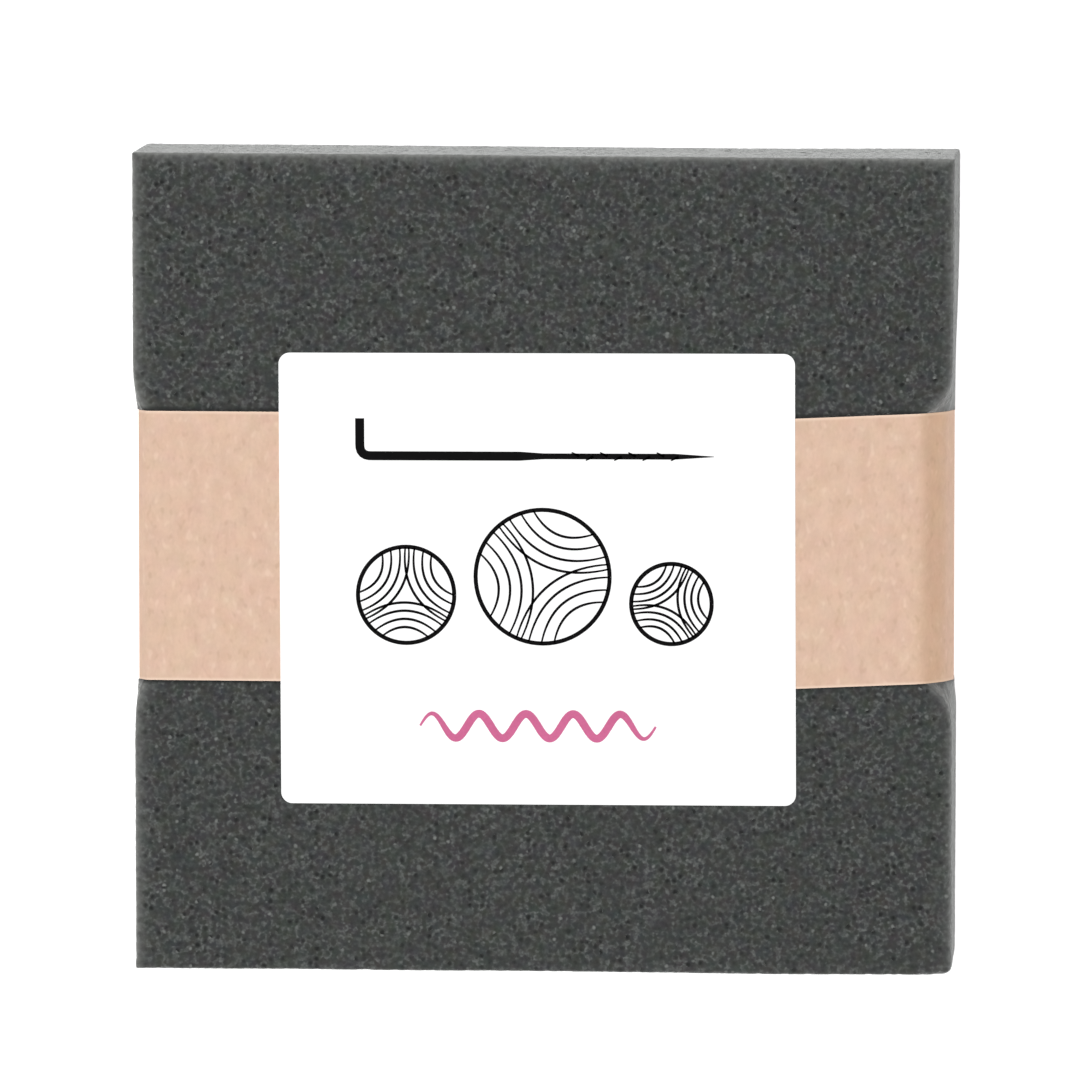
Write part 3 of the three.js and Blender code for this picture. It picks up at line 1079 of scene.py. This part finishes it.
@dataclass
class KraftBand:
    """The strip of kraft paper, wrapped once round the pad with its ends lapped on the front."""

    wrap: Wrap
    face: KraftFinish = KRAFT_FACE
    cut: KraftFinish = KRAFT_CUT
    spacing: float = 1.0 * MM
    corner_steps: int = 10
    columns: int = 31
    cockle: float = 0.05 * MM
    cockle_length: float = 31.0 * MM
    cockle_turn: float = 5.0  # radians, across the strip
    cockle_drift: float = 0.3  # of the turn along the strip
    cockle_reach: float = 0.1 * MM  # below the front face
    # Where the painted shade on the right front fold lies, and how far it spreads.
    fold_shade_middle: float = 3.4 * MM
    fold_shade_reach: float = 2.5 * MM
    length: float = field(init=False, default=0.0)

    def build(self) -> Object:
        """Builds the strip's mesh and dresses it.

        Returns:
            The band.
        """
        stops = self.stops()
        steps = distances(stops)
        self.length = float(steps[-1])
        rows = len(stops)
        layers = [self.layer(stops, steps, depth) for depth in (0.0, self.wrap.paper)]
        piece = new_piece("kraft_band_visual", np.concatenate(layers), slab_faces(rows, self.columns))
        across = np.tile(np.linspace(0, self.wrap.width, self.columns), rows)
        strip = np.tile(np.stack([np.repeat(steps, self.columns), across], axis=-1), (2, 1))
        loops = np.empty(len(piece.data.loops), dtype=np.int32)
        piece.data.loops.foreach_get("vertex_index", loops)
        give_map(piece, STRIP_MAP, strip[loops])
        # Painted shade along the right front fold.
        give_values(piece, "fold", np.tile(np.repeat(self.fold_shades(stops), self.columns), 2))
        for finish in (self.face, self.cut):
            piece.data.materials.append(finish.material(self.wrap.width))
        wide_faces = 2 * (rows - 1) * (self.columns - 1)
        kinds = (np.arange(len(piece.data.polygons)) >= wide_faces).astype(np.int32)
        piece.data.polygons.foreach_set("material_index", kinds)
        smooth_faces(piece)
        return piece

    def stops(self) -> Array:
        """Finds points along the strip's outer line, with no long stretch between them.

        Returns:
            One row of x and z for each point.
        """
        line = np.array(self.wrap.line(self.corner_steps))
        stops = [line[:1]]
        for start, end in zip(line, line[1:]):
            count = max(1, math.ceil(math.dist(start, end) / self.spacing))
            stops.append(np.linspace(start, end, count + 1)[1:])
        points = np.concatenate(stops)
        apart = np.hypot(*np.diff(points, axis=0).T) > SAME_PLACE
        return points[np.concatenate(([True], apart))]

    def moves(self, stops: Array) -> Array:
        """Finds how far the strip is moved along Y.

        Args:
            stops: Points along the strip's outer line.

        Returns:
            The distance at each stop.
        """
        x = stops[:, 0]
        last_back = int(np.flatnonzero(stops[:, 1] < self.wrap.half_way)[-1])
        coming_back = np.arange(len(stops)) > last_back
        fold = self.wrap.right_front[-1][1] * (self.wrap.front - self.wrap.back)
        on_front = stops[:, 1] > self.wrap.front - fold
        slanted = coming_back & on_front
        moves = self.wrap.climb_at(x)
        moves[slanted] = self.wrap.slant_at(x[slanted])
        moves[~coming_back & on_front] = 0.0
        return moves

    def fold_shades(self, stops: Array) -> Array:
        """Returns the painted shade on the strip at each stop: most in the middle of its right front fold.
        """
        past = (stops[:, 0] - self.wrap.right + self.fold_shade_middle) / self.fold_shade_reach
        return np.exp(-past ** 2) * (stops[:, 1] > self.wrap.half_way)

    def layer(self, stops: Array, steps: Array, depth: float) -> Array:
        """Makes one face of the strip.

        Args:
            stops: Points along the strip's outer line.
            steps: How far along the strip each stop is.
            depth: How deep the face lies below the outer line.

        Returns:
            One point for each stop and column.
        """
        tangents = np.gradient(stops, axis=0)
        tangents /= np.linalg.norm(tangents, axis=1)[:, None]
        outward = np.stack([tangents[:, 1], -tangents[:, 0]], axis=-1)
        across = np.linspace(0, 1, self.columns)
        shown = stops[:, 1] > self.wrap.front - self.cockle_reach
        phase = (steps * 2 * math.pi / self.cockle_length)[:, None]
        lift = np.sin(phase) * np.cos(across * self.cockle_turn + phase * self.cockle_drift)
        lift = (lift - 1.0) * self.cockle / 2 * shown[:, None]
        places = stops[:, None, :] + outward[:, None, :] * (lift[..., None] - depth)
        y = self.wrap.middle + (across - 0.5) * self.wrap.width + self.moves(stops)[:, None]
        return np.stack([places[..., 0], y, places[..., 1]], axis=-1).reshape(-1, 3)


@dataclass
class FrontLabel:
    """The stuck-on paper label, with round corners."""

    wrap: Wrap
    finish: SheetFinish = LABEL_STOCK
    width: float = 96.2 * MM
    height: float = 84.4 * MM
    radius: float = 2.1 * MM
    turn: float = math.radians(0.25)
    corner_steps: int = 6
    spacing: float = 2.0 * MM
    sag: float = 0.06 * MM
    sag_reach: float = 7.0 * MM
    low: Vector = field(init=False)
    high: Vector = field(init=False)

    def __post_init__(self) -> None:
        """Takes the label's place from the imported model."""
        self.low, self.high = (Vector(corner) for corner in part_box("front_label"))

    def build(self) -> Object:
        """Builds the label's mesh and dresses it.

        Returns:
            The label.
        """
        across = self.grid_lines(self.width)
        up = self.grid_lines(self.height)
        flat = np.stack(np.meshgrid(across, up), axis=-1).reshape(-1, 2)
        half = np.array((self.width, self.height)) / 2 - self.radius
        past = np.sign(flat) * np.maximum(np.abs(flat) - half, 0)
        length = np.linalg.norm(past, axis=-1, keepdims=True)
        largest = np.abs(past).max(axis=-1, keepdims=True)
        round_past = past * np.divide(largest, length, out=np.ones_like(length), where=length > 0)
        top = np.pad(flat - past + round_past, ((0, 0), (0, 1)))
        bottom = top - (0, 0, self.high.z - self.low.z)
        faces = slab_faces(len(up), len(across))
        piece = new_piece("front_label_visual", np.concatenate([top, bottom]), faces)
        self.lay(piece)
        piece.data.materials.append(self.finish.material())
        smooth_faces(piece)
        return piece

    def grid_lines(self, side: float) -> Array:
        """Finds the places of grid lines along a side, close together at its round corners.

        Args:
            side: The side's length.

        Returns:
            The places, from the side's middle.
        """
        end = side / 2 - self.radius
        corner = np.linspace(0, self.radius, self.corner_steps + 1)[1:]
        middle = np.linspace(-end, end, math.ceil(2 * end / self.spacing) + 1)
        return np.concatenate([-end - corner[::-1], middle, end + corner])

    def lay(self, piece: Object) -> None:
        """Lays a flat mesh on the label's place: turned, moved, and bent down to the foam past the band.

        Args:
            piece: The object of the mesh.
        """
        middle = (self.low + self.high) / 2
        place = Matrix.Translation((middle.x, middle.y, self.high.z)) @ Matrix.Rotation(self.turn, 4, "Z")
        piece.data.transform(place)
        points = np.empty(len(piece.data.vertices) * 3, dtype=np.float32)
        piece.data.vertices.foreach_get("co", points)
        points = points.reshape(-1, 3)
        share = np.clip(self.wrap.past_edges(points, True) / self.sag_reach, 0, 1)
        points[:, 2] -= self.sag * share * share * (3 - 2 * share)
        piece.data.vertices.foreach_set("co", points.ravel())
        piece.data.update()


@dataclass
class Stroke:
    """A printed line: its points on the label, from the label's middle, and its width at each of them."""

    points: Array
    widths: Array


@dataclass
class Needle:
    """A felting needle: a cranked shank that narrows to a barbed blade."""

    left: float = -33.0 * MM
    height: float = 23.0 * MM
    length: float = 66.0 * MM
    crank: float = 7.0 * MM
    bend: float = 2.0 * MM
    bend_steps: int = 12
    shank_width: float = 1.7 * MM
    blade_width: float = 1.1 * MM
    tip_width: float = 0.12 * MM
    blade_start: float = 0.5
    blade_full: float = 0.56
    barb_start: float = 0.62
    tip_start: float = 0.9
    points: int = 120
    barbs: int = 8
    barb_length: float = 1.6 * MM
    barb_width: float = 0.5 * MM
    barb_angle: float = math.radians(152.0)
    barb_taper: Place = (1.0, 0.8, 0.4)

    def strokes(self) -> list[Stroke]:
        """Draws the shank and blade in one line, and the barbs on both sides of the blade.

        Returns:
            The needle's lines.
        """
        right = self.left + self.length
        path = [
            (self.left, self.height + self.crank, 0.0),
            (self.left, self.height, self.bend),
            (right, self.height, 0.0),
        ]
        shares = np.linspace(0, 1, self.points)
        knots = (0.0, self.blade_start, self.blade_full, self.tip_start, 1.0)
        widths = (self.shank_width, self.shank_width, self.blade_width, self.blade_width, self.tip_width)
        strokes = [Stroke(walk(rounded(path, self.bend_steps), shares), np.interp(shares, knots, widths))]
        taper = np.array(self.barb_taper)
        first, last = (self.left + self.length * share for share in (self.barb_start, self.tip_start))
        for number, x in enumerate(np.linspace(first, last, self.barbs)):
            angle = self.barb_angle * (-1) ** number
            reach = self.barb_length * np.array((math.cos(angle), math.sin(angle)))
            points = np.array((x, self.height)) + np.linspace(0, 1, len(taper))[:, None] * reach
            strokes.append(Stroke(points, self.barb_width * taper))
        return strokes


@dataclass
class WoolBall:
    """A wound ball of wool: a round outline, and sets of bowed turns that cross it."""

    middle: float
    radius: float
    foot: float = -12.0 * MM
    line: float = 0.8 * MM
    turn_line: float = 0.5 * MM
    lean: float = 0.3  # radians
    sets: int = 3
    turns: int = 4
    spread: float = 62.0  # degrees
    spread_step: float = 11.0
    bow: float = 0.16
    bow_step: float = 0.17
    taper: float = 0.35
    ring_points: int = 73
    turn_points: int = 21

    def strokes(self) -> list[Stroke]:
        """Draws the outline and the turns.

        Returns:
            The ball's lines.
        """
        centre = np.array((self.middle, self.foot + self.radius))
        angles = np.linspace(0, math.tau, self.ring_points)
        ring = centre + self.radius * np.stack([np.cos(angles), np.sin(angles)], axis=-1)
        strokes = [Stroke(ring, np.full(len(angles), self.line))]
        for number in range(self.sets):
            heading = self.lean + math.tau * number / self.sets
            for turn in range(self.turns):
                spread = math.radians(self.spread - self.spread_step * turn)
                bow = self.bow + self.bow_step * turn
                strokes.append(self.turn_stroke(centre, heading, spread, bow))
        return strokes

    def turn_stroke(self, centre: Array, heading: float, spread: float, bow: float) -> Stroke:
        """Draws one bowed turn between two places on the outline.

        Args:
            centre: The ball's middle.
            heading: The direction of the turn's middle.
            spread: The angle from there to each of its ends.
            bow: How far out the turn's middle is, as a share of the radius.

        Returns:
            The turn.
        """
        share = np.linspace(-1, 1, self.turn_points)
        out = bow + (math.cos(spread) - bow) * share ** 2
        across = math.sin(spread) * share
        axis = np.array((math.cos(heading), math.sin(heading)))
        side = np.array((-axis[1], axis[0]))
        points = centre + self.radius * (out[:, None] * axis + across[:, None] * side)
        return Stroke(points, self.turn_line * (1 - self.taper * share ** 2))


@dataclass
class Strand:
    """A loose strand of wool in even waves."""

    height: float = -27.5 * MM
    length: float = 44.0 * MM
    rise: float = 2.3 * MM
    waves: int = 5
    width: float = 1.5 * MM
    end_width: float = 0.4 * MM
    taper_span: Span = (0.34, 0.5)
    points: int = 181

    def strokes(self) -> list[Stroke]:
        """Draws the strand, narrower at its ends.

        Returns:
            The strand's one line.
        """
        share = np.linspace(0, 1, self.points)
        lift = self.rise * np.sin(math.tau * self.waves * share)
        points = np.stack([self.length * (share - 0.5), self.height + lift], axis=-1)
        widths = np.interp(np.abs(share - 0.5), self.taper_span, (self.width, self.end_width))
        return [Stroke(points, widths)]


@dataclass
class LabelPrint:
    """The label's print: a felting needle and three balls of wool in black, and a strand of wool in pink."""

    label: FrontLabel
    ink_height: float = 0.03 * MM
    needle: Needle = field(default_factory=Needle)
    balls: tuple[WoolBall, ...] = (
        WoolBall(-24.5 * MM, 9.0 * MM, lean=0.5),
        WoolBall(1.0 * MM, 12.5 * MM, lean=1.2),
        WoolBall(25.0 * MM, 7.5 * MM, lean=0.1),
    )
    strand: Strand = field(default_factory=Strand)

    def build(self) -> list[Object]:
        """Builds the printed motifs and lays them on the label.

        Returns:
            The needle, the balls and the strand.
        """
        tree = self.stroke_tree()
        black, pink = BLACK_INK.material(), PINK_INK.material()
        ball_strokes = [stroke for ball in self.balls for stroke in ball.strokes()]
        return [
            self.motif("label_print_needle", self.needle.strokes(), tree, black),
            self.motif("label_print_wool_balls", ball_strokes, tree, black),
            self.motif("label_print_strand", self.strand.strokes(), tree, pink),
        ]

    def stroke_tree(self) -> GeometryTree:
        """Builds the tree that gives flat lines their printed width and height.

        Returns:
            The tree.
        """
        tree = GeometryTree("printed_strokes", {"Ink Height": self.ink_height})
        lines = tree.add("GeometryNodeMeshToCurve", {"Mesh": tree.entry("Geometry")}).outputs[0]
        flat = tree.add("GeometryNodeSetCurveNormal", {"Curve": lines}, mode="Z_UP").outputs[0]
        section = tree.add("GeometryNodeCurvePrimitiveQuadrilateral", {"Width": 1.0, "Height": 1.0})
        width = tree.named_value("width")
        sweep = {"Curve": flat, "Profile Curve": section.outputs[0], "Scale": width, "Fill Caps": True}
        swept = tree.add("GeometryNodeCurveToMesh", sweep).outputs[0]
        sides = tree.parts(tree.place())
        half = tree.maths("DIVIDE", tree.entry("Ink Height"), 2.0)
        level = tree.maths("MULTIPLY", tree.maths("SIGN", sides["Z"]), half)
        printed = tree.moved(swept, tree.at_height(sides, level))
        crisp = tree.add("GeometryNodeSetShadeSmooth", {"Geometry": printed, "Shade Smooth": False})
        tree.close(crisp.outputs[0])
        return tree

    def motif(self, name: str, strokes: list[Stroke], tree: GeometryTree, ink: Material) -> Object:
        """Prints a set of strokes on the label.

        Args:
            name: The printed motif's name.
            strokes: Its lines.
            tree: The tree that gives lines their width.
            ink: The ink's material.

        Returns:
            The motif.
        """
        mesh = bpy.data.meshes.new(name)
        flat = np.concatenate([stroke.points for stroke in strokes])
        edges, start = [], 0
        for stroke in strokes:
            end = start + len(stroke.points)
            edges += [(index, index + 1) for index in range(start, end - 1)]
            start = end
        mesh.from_pydata([(u, v, 0.0) for u, v in flat], edges, [])
        piece = new_object(name, mesh)
        give_values(piece, "width", np.concatenate([stroke.widths for stroke in strokes]))
        tree.run(piece, ink)
        self.label.lay(piece)
        return piece


@dataclass(frozen=True)
class Softbox:
    """A square soft light that the camera doesn't see."""

    name: str
    place: Place
    side: float
    power: float

    def build(self, aim: Vector) -> None:
        """Hangs the light and turns it to a point.

        Args:
            aim: The point.
        """
        data = bpy.data.lights.new(self.name, "AREA")
        data.shape = "SQUARE"
        data.size = self.side
        data.energy = self.power
        light = new_object(self.name, data)
        light.location = self.place
        light.rotation_euler = (aim - light.location).to_track_quat("-Z", "Y").to_euler()
        light.visible_camera = False


@dataclass
class Studio:
    """A pale floor, soft lights and the camera at the photograph's angle."""

    floor_side: float = 24.0
    floor_drop: float = 0.1 * MM
    floor_tone: Colour = (0.45, 0.45, 0.45)
    floor_roughness: float = 0.9
    floor_glow: float = 0.9
    sky: float = 0.21
    eye: Place = (184.65 * MM, 243.52 * MM, 2315.4 * MM)
    aim: Place = (-0.41 * MM, 4.73 * MM, 25.4 * MM)
    lens: float = 414.08
    sensor: float = 36.0
    clip: Span = (0.1, 100.0)
    lights: tuple[Softbox, ...] = (
        Softbox("key_light", (-0.22, 0.18, 1.88), 1.1, 36.0),
        Softbox("top_fill", (0.1, 1.4, 0.5), 0.9, 0.62),
    )

    def build(self) -> None:
        """Builds the floor, the lights and the camera."""
        self.build_floor()
        self.build_sky()
        for light in self.lights:
            light.build(Vector(self.aim))
        self.build_camera()
        bpy.context.scene.view_settings.view_transform = "Standard"

    def build_floor(self) -> None:
        """Lays the floor, a white light table."""
        half = self.floor_side / 2
        corners = [(-half, -half), (half, -half), (half, half), (-half, half)]
        points = np.array([(x, y, -self.floor_drop) for x, y in corners])
        floor = new_piece("studio_floor", points, np.array([[0, 1, 2, 3]]))
        shader = Shader(
            "studio_floor",
            Roughness=self.floor_roughness,
            Base_Color=opaque(self.floor_tone),
            Emission_Color=WHITE,
            Emission_Strength=self.floor_glow,
        )
        floor.data.materials.append(shader.surface)

    def build_sky(self) -> None:
        """Sets the even light that comes from all round."""
        world = bpy.data.worlds.new("studio_sky")
        world.use_nodes = True
        writer = TreeWriter(world.node_tree)
        light = writer.add("ShaderNodeBackground", {"Color": WHITE, "Strength": self.sky})
        writer.add("ShaderNodeOutputWorld", {"Surface": light.outputs[0]})
        bpy.context.scene.world = world

    def build_camera(self) -> None:
        """Stands the camera at the photograph's viewpoint, with +Y up in the picture."""
        data = bpy.data.cameras.new("photo_camera")
        data.lens = self.lens
        data.sensor_width = self.sensor
        data.clip_start, data.clip_end = self.clip
        back = (Vector(self.eye) - Vector(self.aim)).normalized()
        right = Vector((0.0, 1.0, 0.0)).cross(back).normalized()
        axes = Matrix((right, back.cross(right), back)).transposed().to_4x4()
        camera = new_object("photo_camera", data)
        camera.matrix_world = Matrix.Translation(self.eye) @ axes
        bpy.context.scene.camera = camera


def enter(piece: Object, body: Body, node: str | None = None) -> None:
    """Enters a piece in the frame, and writes its name and its count of faces to the log.

    Args:
        piece: The piece.
        body: What it rides on.
        node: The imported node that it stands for, where it stands for one.
    """
    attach(piece, body.value)
    if node is not None:
        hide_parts(node)
    LOG.info("%s: %d faces", piece.name, len(piece.data.polygons))


def main() -> None:
    """Builds the mat piece by piece, and the studio round it."""
    logging.basicConfig(level=logging.INFO, format="%(name)s: %(message)s")
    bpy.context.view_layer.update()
    Studio().build()
    wrap = Wrap.from_frame()

    pad = FoamPad(wrap).build()
    enter(pad, Body.PAD, "foam_pad")

    strip = KraftBand(wrap)
    band = strip.build()
    enter(band, Body.SLEEVE, "kraft_band")

    sticker = FrontLabel(wrap)
    label = sticker.build()
    enter(label, Body.SLEEVE, "front_label")

    for motif in LabelPrint(sticker).build():
        enter(motif, Body.SLEEVE)


if __name__ == "__main__":
    main()
